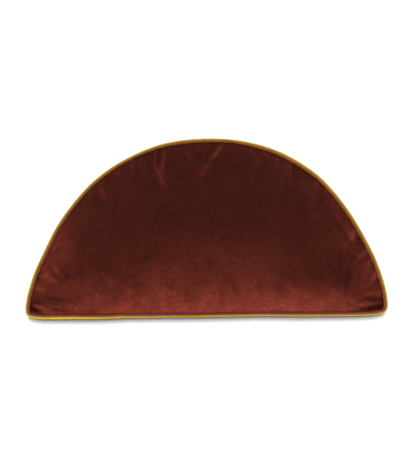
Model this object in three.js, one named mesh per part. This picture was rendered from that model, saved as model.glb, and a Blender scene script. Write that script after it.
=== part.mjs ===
// Half-moon throw pillow in velvet, with contrasting piping sewn into its seam.
// Millimetres, +Z up. The pillow lies on its back: X runs along the straight edge, +Y points to the
// top of the curved edge, and Z rises from the flattened back to the crown of the front panel.
import * as THREE from "three";

// Seen from the front, the pillow is a half disc. Its curved edge is an arc that flares out at both corners.
const ARC_CENTRE = new THREE.Vector2(0.7, -152.5);
const ARC_RADIUS = 317.6;
// The crown's middle, from which every bearing is measured (0 degrees is +X, 90 degrees is +Y).
const HUB = new THREE.Vector2(0, -20.5);
// The straight edge lies this far below the hub, rises to the right by the slope and is hollowed by the sag.
const EDGE_DROP = 140.9;
const EDGE_SLOPE = 0.0118;
const EDGE_SAG = 1;
// How crisply the arc turns into the straight edge: a larger exponent makes a tighter corner.
const CORNER_EXPONENT_LEFT = 24.6;
const CORNER_EXPONENT_RIGHT = 22.3;
// Swells and flats of the curved edge: the bearing of the middle, the half width and the height of each.
const EDGE_SWELLS = [
  { name: "right corner", bearing: -23, spread: 16.2, height: 13.8 },
  { name: "left corner", bearing: 203, spread: 13.3, height: 15 },
  { name: "right shoulder", bearing: 44, spread: 27, height: 4.8 },
  { name: "left flank", bearing: 171, spread: 25.5, height: -2.3 },
];

// Piping: a covered cord sewn between the panels. Its outer side is the pillow's outline.
const PIPING_RADIUS = 3.5;
const PIPING_SIDES = 8;
const SEAM_GAP = 0.3;

// The seam's height above the surface, and how far it droops at the corners, where the pillow is thin.
const SEAM_HEIGHT = 47;
const CORNER_DROOP = 5;
const SEAM_BAND = 2;

// Crown of each panel above and below the seam, before the back is flattened by the pillow's own weight.
const FRONT_CROWN = 56;
const BACK_CROWN = 60;
// How quickly the crown falls to nothing at the seam, and the height over which the back eases down to rest.
const SEAM_FALL = 6;
const BACK_EASE = 3;
const HALF_LENGTH = 330;

// Creases of the front panel, as straight soft troughs (negative depth) and ridges (positive depth).
// Each runs from (x0, y0) near the seam to (x1, y1), is soft over its width and fades towards its ends.
const CREASES = [
  { name: "upper left fold", x0: -79, y0: 152, x1: -74, y1: 72, width: 9, depth: -4.2 },
  { name: "upper left ridge", x0: -92, y0: 150, x1: -86, y1: 84, width: 8, depth: 2.3 },
  { name: "top slanted fold", x0: 34, y0: 158, x1: -9, y1: 94, width: 9, depth: -4.4 },
  { name: "top cross fold", x0: -40, y0: 152, x1: -18, y1: 108, width: 8, depth: -2.3 },
  { name: "upper right fold", x0: 154, y0: 130, x1: 148, y1: 74, width: 9, depth: -3.4 },
  { name: "left upper pinch", x0: -310, y0: -88, x1: -268, y1: -98, width: 9, depth: -4.2 },
  { name: "left lower pinch", x0: -320, y0: -128, x1: -262, y1: -126, width: 9, depth: -3.6 },
  { name: "left corner tuck", x0: -312, y0: -150, x1: -262, y1: -148, width: 8, depth: -3.1 },
  { name: "right flank fold", x0: 274, y0: -8, x1: 250, y1: -60, width: 10, depth: -3.1 },
  { name: "right side hollow", x0: 258, y0: -66, x1: 257, y1: -118, width: 12, depth: -2.9 },
  { name: "right corner tuck", x0: 322, y0: -136, x1: 272, y1: -147, width: 8, depth: -3.6 },
  { name: "right corner fold", x0: 322, y0: -122, x1: 284, y1: -128, width: 8, depth: -2.9 },
];

// Fineness of the mesh: stations along the seam, and rings from the seam to the hub as shares of the way.
const SEAM_STATIONS = 160;
const OUTLINE_STEPS = 2400;
const TURN_WEIGHT = 60;
const RINGS = [1, 0.985, 0.96, 0.925, 0.88, 0.825, 0.76, 0.68, 0.58, 0.45, 0.3, 0.15];

// Colours and finish.
const VELVET = { color: 0x4f1c16, roughness: 0.85, metalness: 0 };
const PIPING_CLOTH = { color: 0xb98a2c, roughness: 0.75, metalness: 0 };

/** Signed difference of two bearings, in degrees from -180 to 180. */
function bearingDifference(a, b) {
  return THREE.MathUtils.euclideanModulo(a - b + 180, 360) - 180;
}

/** Radius of the curved edge on a bearing: the arc's own with its swells. */
function arcRadius(bearing) {
  return EDGE_SWELLS.reduce((radius, swell) => {
    const away = bearingDifference(bearing, swell.bearing) / swell.spread;
    return radius + swell.height * Math.exp(-(away ** 2));
  }, ARC_RADIUS);
}

/** Distance from the hub to the pillow's outline along a bearing. */
function outlineRadius(bearing) {
  const angle = THREE.MathUtils.degToRad(bearing);
  const ray = new THREE.Vector2(Math.cos(angle), Math.sin(angle));
  const toCentre = ARC_CENTRE.clone().sub(HUB);
  const across = toCentre.cross(ray);
  const toArc = ray.dot(toCentre) + Math.sqrt(arcRadius(bearing) ** 2 - across ** 2);
  const fall = EDGE_SLOPE * ray.x - ray.y;
  if (fall <= 0) return toArc;
  const drop = EDGE_DROP + EDGE_SAG * Math.cos(2 * angle);
  const rightShare = (ray.x + 1) / 2;
  const exponent = THREE.MathUtils.lerp(CORNER_EXPONENT_LEFT, CORNER_EXPONENT_RIGHT, rightShare);
  return toArc * (1 + ((toArc * fall) / drop) ** exponent) ** (-1 / exponent);
}

/** Point of the outline on a bearing. */
function outlinePoint(bearing) {
  const angle = THREE.MathUtils.degToRad(bearing);
  const ray = new THREE.Vector2(Math.cos(angle), Math.sin(angle));
  return ray.multiplyScalar(outlineRadius(bearing)).add(HUB);
}

/**
 * Stations along the seam, closer together where the outline turns. Each has its point on the outline, the
 * direction out of the pillow and the radius of the curved edge on its bearing.
 */
function seamStations(count) {
  const bearings = Array.from({ length: OUTLINE_STEPS }, (_, i) => (360 * i) / OUTLINE_STEPS);
  const fine = bearings.map(outlinePoint);
  const tangents = fine.map((_, i) => {
    const before = fine[(i + OUTLINE_STEPS - 1) % OUTLINE_STEPS];
    const after = fine[(i + 1) % OUTLINE_STEPS];
    return after.clone().sub(before).normalize();
  });
  const reach = [0];
  for (let i = 0; i < OUTLINE_STEPS; i++) {
    const next = (i + 1) % OUTLINE_STEPS;
    const turn = Math.abs(Math.asin(tangents[i].cross(tangents[next])));
    reach.push(reach[i] + fine[i].distanceTo(fine[next]) + TURN_WEIGHT * turn);
  }
  const stations = [];
  let i = 0;
  for (let k = 0; k < count; k++) {
    const wanted = (k / count) * reach[OUTLINE_STEPS];
    while (reach[i + 1] <= wanted) i++;
    const next = (i + 1) % OUTLINE_STEPS;
    const share = (wanted - reach[i]) / (reach[i + 1] - reach[i]);
    const point = fine[i].clone().lerp(fine[next], share);
    const tangent = tangents[i].clone().lerp(tangents[next], share).normalize();
    const outward = new THREE.Vector2(tangent.y, -tangent.x);
    stations.push({ point, outward, edgeRadius: arcRadius(bearings[i]) });
  }
  return stations;
}

/** Height of the seam above the surface at a place along the pillow. */
function seamHeight(x) {
  return SEAM_HEIGHT - CORNER_DROOP * Math.abs(x / HALF_LENGTH) ** 3;
}

/**
 * How full the pillow is at a point, from 0 at its edges to 1 in its middle: the product of the fall towards
 * the curved edge and the rise from the straight edge, over that product's largest value.
 */
function fullness(point, edgeRadius) {
  const reach = point.distanceTo(ARC_CENTRE) / edgeRadius;
  const edge = HUB.y - EDGE_DROP + EDGE_SLOPE * point.x;
  const height = (point.y - edge) / ARC_RADIUS;
  return Math.max(0, ((1 - reach ** 2) * height * (2 - height)) / 0.75 ** 2);
}

/** Height of the back above the surface: it eases down onto it and lies flat where it would go lower. */
function settledHeight(height) {
  if (height > BACK_EASE) return height;
  return Math.max(0, height + BACK_EASE) ** 2 / (4 * BACK_EASE);
}

/** Rise of the front panel at a point from all the creases together. */
function creaseRise(point) {
  return CREASES.reduce((sum, crease) => {
    const start = new THREE.Vector2(crease.x0, crease.y0);
    const run = new THREE.Vector2(crease.x1, crease.y1).sub(start);
    const offset = point.clone().sub(start);
    const along = offset.dot(run) / run.lengthSq();
    if (along < 0 || along > 1) return sum;
    const aside = offset.cross(run) / run.length();
    const fade = Math.sin(Math.PI * Math.sqrt(along)) ** 2;
    return sum + crease.depth * fade * Math.exp(-((aside / crease.width) ** 2));
  }, 0);
}

/** One closed surface from a stack of rings of like points, closed by two poles or back onto its first ring. */
function loftGeometry(rings, poles) {
  const count = rings[0].length;
  const points = rings.flat();
  const faces = [];
  const strips = poles ? rings.length - 1 : rings.length;
  for (let r = 0; r < strips; r++) {
    const upper = r * count;
    const lower = ((r + 1) % rings.length) * count;
    for (let k = 0; k < count; k++) {
      const n = (k + 1) % count;
      faces.push(upper + k, lower + k, lower + n, upper + k, lower + n, upper + n);
    }
  }
  if (poles) {
    const first = points.push(poles[0]) - 1;
    const last = points.push(poles[1]) - 1;
    const bottom = (rings.length - 1) * count;
    for (let k = 0; k < count; k++) {
      const n = (k + 1) % count;
      faces.push(first, k, n, last, bottom + n, bottom + k);
    }
  }
  const geometry = new THREE.BufferGeometry().setFromPoints(points);
  geometry.setIndex(faces);
  geometry.computeVertexNormals();
  return geometry;
}

/** The filled cushion: front panel, thin seam band and flattened back, lofted from the front to the back. */
function cushionGeometry(stations) {
  const inset = 2 * PIPING_RADIUS + SEAM_GAP;
  const rim = stations.map((s) => s.point.clone().addScaledVector(s.outward, -inset));
  const ringAt = (share, heightAt) =>
    rim.map((corner, k) => {
      const { edgeRadius } = stations[k];
      const p = corner.clone().sub(HUB).multiplyScalar(share).add(HUB);
      const full = fullness(p, edgeRadius) - fullness(corner, edgeRadius) * share ** SEAM_FALL;
      return new THREE.Vector3(p.x, p.y, heightAt(p, Math.sqrt(Math.max(0, full)), share));
    });
  const frontHeight = (p, crown, share) =>
    seamHeight(p.x) + SEAM_BAND / 2 + FRONT_CROWN * crown + (share < 1 ? creaseRise(p) : 0);
  const backHeight = (p, crown) => settledHeight(seamHeight(p.x) - SEAM_BAND / 2 - BACK_CROWN * crown);
  const front = RINGS.toReversed().map((share) => ringAt(share, frontHeight));
  const back = RINGS.map((share) => ringAt(share, backHeight));
  const middle = Math.sqrt(fullness(HUB, ARC_RADIUS));
  const poleAt = (heightAt) => new THREE.Vector3(HUB.x, HUB.y, heightAt(HUB, middle, 0));
  return loftGeometry([...front, ...back], [poleAt(frontHeight), poleAt(backHeight)]);
}

/** The piping: a round cord along the seam, closed on itself. */
function pipingGeometry(stations) {
  const rings = stations.map((s) => {
    const centre = s.point.clone().addScaledVector(s.outward, -PIPING_RADIUS);
    return Array.from({ length: PIPING_SIDES }, (_, i) => {
      const turn = (2 * Math.PI * i) / PIPING_SIDES;
      const p = centre.clone().addScaledVector(s.outward, PIPING_RADIUS * Math.cos(turn));
      return new THREE.Vector3(p.x, p.y, seamHeight(s.point.x) + PIPING_RADIUS * Math.sin(turn));
    });
  });
  return loftGeometry(rings, null);
}

/** A named mesh with a finish of its own. */
function namedMesh(name, geometry, finish) {
  const mesh = new THREE.Mesh(geometry, new THREE.MeshStandardMaterial(finish));
  mesh.name = name;
  return mesh;
}

const stations = seamStations(SEAM_STATIONS);
const pillow = new THREE.Group();
pillow.add(namedMesh("velvet_cushion", cushionGeometry(stations), VELVET));
pillow.add(namedMesh("piping", pipingGeometry(stations), PIPING_CLOTH));

export default pillow;
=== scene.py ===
"""Half-moon throw pillow in rust-red velvet, with mustard piping sewn into its seam.

Metres. X runs along the straight edge, +Y points to the top of the curved edge, and Z rises from the
surface that the back lies on to the crown of the front panel.
"""

from __future__ import annotations

import logging
import math
from dataclasses import dataclass, field, fields
from enum import Enum
from typing import ClassVar

import bpy
import numpy as np
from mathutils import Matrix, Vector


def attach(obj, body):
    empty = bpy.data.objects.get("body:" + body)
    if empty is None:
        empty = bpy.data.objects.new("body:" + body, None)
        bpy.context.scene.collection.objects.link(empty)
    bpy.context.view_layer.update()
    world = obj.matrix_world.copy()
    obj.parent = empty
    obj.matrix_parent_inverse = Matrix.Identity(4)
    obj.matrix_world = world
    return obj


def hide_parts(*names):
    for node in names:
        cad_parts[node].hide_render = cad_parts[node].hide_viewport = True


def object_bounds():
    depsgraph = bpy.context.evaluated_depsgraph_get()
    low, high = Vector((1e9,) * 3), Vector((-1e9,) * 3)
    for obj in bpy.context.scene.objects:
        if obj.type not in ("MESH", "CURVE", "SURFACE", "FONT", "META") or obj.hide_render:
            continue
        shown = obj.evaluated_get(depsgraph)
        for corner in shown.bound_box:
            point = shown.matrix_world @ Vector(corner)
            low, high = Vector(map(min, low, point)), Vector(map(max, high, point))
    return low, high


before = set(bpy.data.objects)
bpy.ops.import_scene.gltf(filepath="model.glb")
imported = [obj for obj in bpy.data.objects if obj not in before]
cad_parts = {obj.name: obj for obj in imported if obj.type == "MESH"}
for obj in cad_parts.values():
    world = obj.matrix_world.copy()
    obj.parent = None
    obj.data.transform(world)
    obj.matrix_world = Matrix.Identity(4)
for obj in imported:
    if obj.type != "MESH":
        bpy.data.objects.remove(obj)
SOLID_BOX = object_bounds()

LOG = logging.getLogger("half_moon_pillow")
MILLIMETRE = 0.001
BODY = "root"
SEAM_SHADE = "seam_shade"
# Stored painted sheen above 0 and painted shade below 0.
PAINTED_SHEEN_AND_SHADE = "painted_sheen_and_shade"
TINY = 1e-9

Colour = tuple[float, float, float, float]
Socket = bpy.types.NodeSocket


class Panel(Enum):
    """The two velvet panels of the cover."""

    FRONT = "front"
    BACK = "back"


class Fold(Enum):
    """Which way the cloth goes at a crease: into the filling or out of it."""

    TROUGH = -1.0
    RIDGE = 1.0


def smooth_step(low: float | np.ndarray, high: float | np.ndarray, value: np.ndarray) -> np.ndarray:
    """Rises smoothly from 0 at low to 1 at high, as 3t squared minus 2t cubed.

    Args:
        low: Where the step starts.
        high: Where the step ends.
        value: The places at which it is read.

    Returns:
        The step at each place.
    """
    share = np.clip((value - low) / (high - low), 0.0, 1.0)
    return share * share * (3.0 - 2.0 * share)


def bell(offset: np.ndarray) -> np.ndarray:
    """A bell curve, e to the power of minus the square of the offset."""
    return np.exp(-(offset**2))


@dataclass(frozen=True)
class Waves:
    """Smooth chance unevenness: a sum of sine waves of random direction and phase, about 1 high together."""

    seed: int
    longest: float
    shortest: float
    count: int = 14

    def over(self, place: np.ndarray) -> np.ndarray:
        """Height of the waves at each point.

        Args:
            place: Points, with one to three coordinates last.

        Returns:
            The heights, which seldom pass 1 either way.
        """
        chance = np.random.default_rng(self.seed)
        directions = chance.normal(size=(self.count, place.shape[-1]))
        directions /= np.linalg.norm(directions, axis=1, keepdims=True)
        lengths = np.exp(chance.uniform(math.log(self.shortest), math.log(self.longest), self.count))
        phases = chance.uniform(0.0, 2.0 * math.pi, self.count)
        angles = place @ (directions / lengths[:, None]).T * 2.0 * math.pi + phases
        return np.sin(angles).sum(axis=-1) / math.sqrt(2.0 * self.count)


@dataclass(frozen=True)
class Swell:
    """A swell round the seam, or a hollow where its height is negative: a bell over the bearing.

    What swells is a length, such as the outline's reach or the piping's radius, or a plain share.
    """

    bearing: float
    spread: float
    height: float

    def at(self, bearing: np.ndarray) -> np.ndarray:
        """Height of the swell on each bearing."""
        away = (bearing - self.bearing + 180.0) % 360.0 - 180.0
        return self.height * bell(away / self.spread)


def swelling(swells: tuple[Swell, ...], bearing: np.ndarray) -> np.ndarray:
    """Sum of the swells on each bearing."""
    return sum(swell.at(bearing) for swell in swells)


@dataclass(frozen=True)
class Outline:
    """The pillow's outline seen from the front: a half disc whose corners flare out.

    Bearings are measured at the hub, in degrees, from +X towards +Y. Along each the outline is the nearer
    of the arc and the straight edge, rounded off where the two meet. The swells bend the arc, and the nips
    are the small bulges and hollows of the sewn edge.
    """

    hub: tuple[float, float] = (0.0, -0.0205)
    arc_centre: tuple[float, float] = (0.0007, -0.1525)
    arc_radius: float = 0.3176
    edge_drop: float = 0.1409
    edge_slope: float = 0.0118
    edge_sag: float = 0.001
    corner_exponent_left: float = 24.6
    corner_exponent_right: float = 22.3
    swells: tuple[Swell, ...] = (
        Swell(bearing=-23.0, spread=16.2, height=0.0138),
        Swell(bearing=203.0, spread=13.3, height=0.015),
        Swell(bearing=44.0, spread=27.0, height=0.0048),
        Swell(bearing=171.0, spread=25.5, height=-0.0023),
    )
    nips: tuple[Swell, ...] = (
        Swell(bearing=29.0, spread=7.0, height=0.0012),
        Swell(bearing=92.0, spread=10.0, height=-0.0005),
        Swell(bearing=115.0, spread=6.0, height=0.0005),
        Swell(bearing=133.0, spread=6.0, height=-0.0007),
        Swell(bearing=153.0, spread=5.0, height=0.0006),
        Swell(bearing=175.0, spread=5.0, height=0.0007),
        Swell(bearing=190.0, spread=4.0, height=0.0010),
        Swell(bearing=202.0, spread=8.0, height=0.0011),
        Swell(bearing=216.0, spread=4.0, height=0.0013),
        Swell(bearing=224.0, spread=5.0, height=-0.0008),
        Swell(bearing=260.0, spread=16.0, height=0.0008),
        Swell(bearing=307.0, spread=10.0, height=-0.0005),
        Swell(bearing=330.0, spread=8.0, height=0.0011),
        Swell(bearing=343.0, spread=7.0, height=0.0013),
        Swell(bearing=354.0, spread=6.0, height=0.0013),
    )

    def arc_reach(self, bearing: np.ndarray) -> np.ndarray:
        """Radius of the curved edge on each bearing: the arc's own plus the bells of its swells.

        Args:
            bearing: Bearings from the hub, in degrees.

        Returns:
            The radii, in metres from the arc's centre.
        """
        return self.arc_radius + swelling(self.swells, bearing)

    def edge_height(self, x: np.ndarray) -> np.ndarray:
        """Y of the straight edge at each x, without its slight sag."""
        return self.hub[1] - self.edge_drop + self.edge_slope * x

    def distance(self, bearing: np.ndarray) -> np.ndarray:
        """Distance from the hub to the outline.

        To the arc it is the ray's far crossing with a circle of the swollen radius. To the straight edge it
        is the drop over the ray's fall. The two are joined as a negative power mean, whose exponent sets how
        crisp the corner is. The nips come on top.

        Args:
            bearing: Bearings from the hub, in degrees.

        Returns:
            The distances, in metres.
        """
        angle = np.radians(bearing)
        ray_x, ray_y = np.cos(angle), np.sin(angle)
        to_x = self.arc_centre[0] - self.hub[0]
        to_y = self.arc_centre[1] - self.hub[1]
        across = to_x * ray_y - to_y * ray_x
        to_arc = ray_x * to_x + ray_y * to_y + np.sqrt(self.arc_reach(bearing) ** 2 - across**2)
        fall = np.maximum(self.edge_slope * ray_x - ray_y, 0.0)
        drop = self.edge_drop + self.edge_sag * np.cos(2.0 * angle)
        right_share = (ray_x + 1.0) / 2.0
        exponent = self.corner_exponent_left * (1.0 - right_share) + self.corner_exponent_right * right_share
        even = to_arc * (1.0 + (to_arc * fall / drop) ** exponent) ** (-1.0 / exponent)
        return even + swelling(self.nips, bearing)

    def bearing_of(self, place: np.ndarray) -> np.ndarray:
        """Bearings from the hub, in degrees from 0 to 360, of an array of points."""
        offset = place - np.array(self.hub)
        return np.degrees(np.arctan2(offset[..., 1], offset[..., 0])) % 360.0


@dataclass
class SeamPath:
    """The outline as a closed path, read by the length run along it from bearing 0, anticlockwise."""

    outline: Outline
    steps: int = 4096
    bearings: np.ndarray = field(init=False)
    points: np.ndarray = field(init=False)
    outward: np.ndarray = field(init=False)
    reach: np.ndarray = field(init=False)
    length: float = field(init=False)

    def __post_init__(self) -> None:
        """Samples the outline finely and adds up its length."""
        self.bearings = np.arange(self.steps) * 360.0 / self.steps
        angle = np.radians(self.bearings)
        ray = np.stack([np.cos(angle), np.sin(angle)], axis=1)
        self.points = np.array(self.outline.hub) + ray * self.outline.distance(self.bearings)[:, None]
        along = np.roll(self.points, -1, axis=0) - np.roll(self.points, 1, axis=0)
        along /= np.linalg.norm(along, axis=1, keepdims=True)
        self.outward = np.stack([along[:, 1], -along[:, 0]], axis=1)
        gaps = np.linalg.norm(np.roll(self.points, -1, axis=0) - self.points, axis=1)
        self.reach = np.concatenate([[0.0], np.cumsum(gaps)[:-1]])
        self.length = float(gaps.sum())

    def read(self, values: np.ndarray, run: np.ndarray) -> np.ndarray:
        """Values of a column of the path at each length run along it, wrapped round the closed path."""
        columns = [np.interp(run, self.reach, column, period=self.length) for column in values.T]
        return np.stack(columns, axis=-1)

    def place(self, run: np.ndarray, inset: float | np.ndarray) -> np.ndarray:
        """Points at lengths along the path, moved into the pillow square to it.

        Args:
            run: Lengths along the path, in metres.
            inset: How far inside the outline the points lie.

        Returns:
            The points, with x and y last.
        """
        outward = self.read(self.outward, run)
        outward /= np.linalg.norm(outward, axis=-1, keepdims=True)
        return self.read(self.points, run) - np.asarray(inset)[..., None] * outward

    def bearing_at(self, run: np.ndarray) -> np.ndarray:
        """Bearings of the points at lengths along the path."""
        return np.interp(run % self.length, self.reach, self.bearings)

    def rim(self, run: np.ndarray, cord: CordSize) -> np.ndarray:
        """Points of the cover's rim, behind the piping, at lengths along the path."""
        return self.place(run, cord.rim_inset(self.bearing_at(run)))

    def run_of(self, bearing: float) -> float:
        """Length along the path at which it crosses a bearing from 0 to 360 degrees."""
        return float(np.interp(bearing, self.bearings, self.reach))


@dataclass(frozen=True)
class CordSize:
    """How thick the piping is round the seam, and how far the cover laps over it."""

    radius: float = 0.00357
    lap: float = 0.0006
    swells: tuple[Swell, ...] = (
        Swell(bearing=40.0, spread=20.0, height=0.00045),
        Swell(bearing=8.0, spread=12.0, height=0.00015),
        Swell(bearing=132.0, spread=20.0, height=-0.0005),
        Swell(bearing=170.0, spread=14.0, height=-0.0002),
        Swell(bearing=335.5, spread=7.0, height=-0.0003),
        Swell(bearing=270.0, spread=48.0, height=-0.00035),
        Swell(bearing=2.0, spread=5.0, height=0.0003),
        Swell(bearing=76.0, spread=7.0, height=-0.0005),
        Swell(bearing=194.0, spread=5.0, height=0.00025),
        Swell(bearing=346.0, spread=6.0, height=0.0003),
    )

    def at(self, bearing: np.ndarray) -> np.ndarray:
        """Radius of the piping on each bearing."""
        return self.radius + swelling(self.swells, bearing)

    def rim_inset(self, bearing: np.ndarray) -> np.ndarray:
        """How far inside the outline the cover's rim lies: twice the piping's radius, less the lap."""
        return 2.0 * self.at(bearing) - self.lap


@dataclass
class PillowForm:
    """The heights of the filled pillow, the same as in its solids, and the slight sway of its sewn seam.

    The fullness is taken over its peak, which it reaches half way up the arc's radius.
    """

    path: SeamPath
    cord: CordSize
    seam_height: float = 0.047
    corner_droop: float = 0.005
    half_length: float = 0.33
    front_crown: float = 0.056
    back_crown: float = 0.060
    peak_fullness: float = 0.75**2
    seam_fall: float = 6.0
    back_ease: float = 0.003
    sway_height: float = 0.0011
    sway: Waves = Waves(seed=17, longest=0.30, shortest=0.09, count=8)

    def seam_sway(self, bearing: np.ndarray) -> np.ndarray:
        """How far the sewn seam wanders up or down: waves read on a circle as long as the seam.

        Args:
            bearing: Bearings from the hub, in degrees.

        Returns:
            The heights, in metres.
        """
        run = np.interp(bearing, self.path.bearings, self.path.reach, period=360.0)
        angle = run / self.path.length * 2.0 * math.pi
        loop = np.stack([np.cos(angle), np.sin(angle)], axis=-1) * self.path.length / (2.0 * math.pi)
        return self.sway_height * self.sway.over(loop)

    def seam(self, x: np.ndarray) -> np.ndarray:
        """Height of the seam: level, and lower towards the corners by the cube of the way there."""
        return self.seam_height - self.corner_droop * np.abs(x / self.half_length) ** 3

    def fullness(self, place: np.ndarray) -> np.ndarray:
        """How full the pillow is at each point, from 0 at its edges to 1 in its middle.

        The fall towards the curved edge, one minus the squared share of the arc's radius, times the rise
        from the straight edge, h(2 - h), over the peak of that product.

        Args:
            place: Points, with x and y last.

        Returns:
            The fullness of each.
        """
        outline = self.path.outline
        offset = place - np.array(outline.arc_centre)
        share = np.linalg.norm(offset, axis=-1) / outline.arc_reach(outline.bearing_of(place))
        rise = (place[..., 1] - outline.edge_height(place[..., 0])) / outline.arc_radius
        return np.maximum((1.0 - share**2) * rise * (2.0 - rise) / self.peak_fullness, 0.0)

    def crown(self, place: np.ndarray) -> np.ndarray:
        """Share of the full crown at each point: the root of the fullness over what is left at the rim.

        Args:
            place: Points, with x and y last.

        Returns:
            The share, 0 on the rim and about 1 in the middle.
        """
        outline = self.path.outline
        rim = self.path.place(self.path.reach, self.cord.rim_inset(self.path.bearings))
        hub = np.array(outline.hub)
        rim_bearing = outline.bearing_of(rim)
        rim_distance = np.linalg.norm(rim - hub, axis=-1)
        order = np.argsort(rim_bearing)
        bearing = outline.bearing_of(place)
        limit = np.interp(bearing, rim_bearing[order], rim_distance[order], period=360.0)
        left = np.interp(bearing, rim_bearing[order], self.fullness(rim)[order], period=360.0)
        share = np.minimum(np.linalg.norm(place - hub, axis=-1) / limit, 1.0)
        return np.sqrt(np.maximum(self.fullness(place) - left * share**self.seam_fall, 0.0))

    def settle(self, height: np.ndarray) -> np.ndarray:
        """Eases heights near the surface down onto it, and lays flat what would go through it."""
        low = np.maximum(height + self.back_ease, 0.0) ** 2 / (4.0 * self.back_ease)
        return np.where(height > self.back_ease, height, low)


@dataclass(frozen=True)
class Crease:
    """A soft crease of the front panel, from near the seam inwards.

    Start and end are its two ends, widths its half widths there, depth how far it goes in or out, pile how
    strong its painted highlight along a ridge and its painted shade along a trough are, and bow how far its
    middle is pushed aside.
    It is at its full strength from one share of its length to another, full_from to full_to.
    """

    name: str
    start: tuple[float, float]
    end: tuple[float, float]
    widths: tuple[float, float]
    depth: float
    pile: float
    bow: float = 0.0
    kind: ClassVar[Fold] = Fold.RIDGE
    full_from: ClassVar[float] = 0.22
    full_to: ClassVar[float] = 0.45

    def across(self, place: np.ndarray) -> tuple[np.ndarray, np.ndarray]:
        """Where each point lies on the crease.

        Args:
            place: Points, with x and y last.

        Returns:
            The distance aside in half widths, and the strength there, which is 0 at both ends of the crease
            and fades over its inner half.
        """
        start = np.array(self.start)
        run = np.array(self.end) - start
        length = float(np.linalg.norm(run))
        offset = place - start
        along = (offset @ run) / length**2
        aside = (offset[..., 0] * run[1] - offset[..., 1] * run[0]) / length
        aside = aside - self.bow * 4.0 * along * (1.0 - along)
        inward = np.clip(along, 0.0, 1.0)
        width = self.widths[0] + (self.widths[1] - self.widths[0]) * inward
        strength = smooth_step(0.0, self.full_from, along) * (1.0 - smooth_step(self.full_to, 1.0, along))
        return aside / width, strength

    def rise(self, place: np.ndarray) -> np.ndarray:
        """Rise of the cloth: across the crease (1 - a squared) times a bell of a, the distance aside."""
        a, strength = self.across(place)
        return self.kind.value * self.depth * strength * (1.0 - a**2) * bell(a)

    def opening(self, place: np.ndarray) -> np.ndarray:
        """Painted highlight of a ridge, as a bell across the crease. It is less than 0, painted shade, for a
        trough.
        """
        a, strength = self.across(place)
        return self.kind.value * self.pile * strength * bell(a)


class Ridge(Crease):
    """A crease that stands out of the panel."""


class Trough(Crease):
    """A crease that goes into the panel."""

    kind: ClassVar[Fold] = Fold.TROUGH


@dataclass(frozen=True)
class PileMark:
    """A patch where the pile was pushed over, shown as painted sheen above 0 and painted shade below.

    It is a bell over an ellipse, with a spread along and across, turned anticlockwise from +X in degrees.
    """

    name: str
    centre: tuple[float, float]
    spread: tuple[float, float]
    amount: float
    turn: float = 0.0

    def opening(self, place: np.ndarray) -> np.ndarray:
        """The painted sheen at each point, less than 0 where it is painted shade.

        Args:
            place: Points, with x and y last.

        Returns:
            The opening at each point.
        """
        angle = math.radians(self.turn)
        offset = place - np.array(self.centre)
        along = offset[..., 0] * math.cos(angle) + offset[..., 1] * math.sin(angle)
        aside = offset[..., 1] * math.cos(angle) - offset[..., 0] * math.sin(angle)
        return self.amount * bell(np.hypot(along / self.spread[0], aside / self.spread[1]))


# Creases bend the panel, with a painted highlight along each ridge and a painted shade along each trough.
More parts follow.
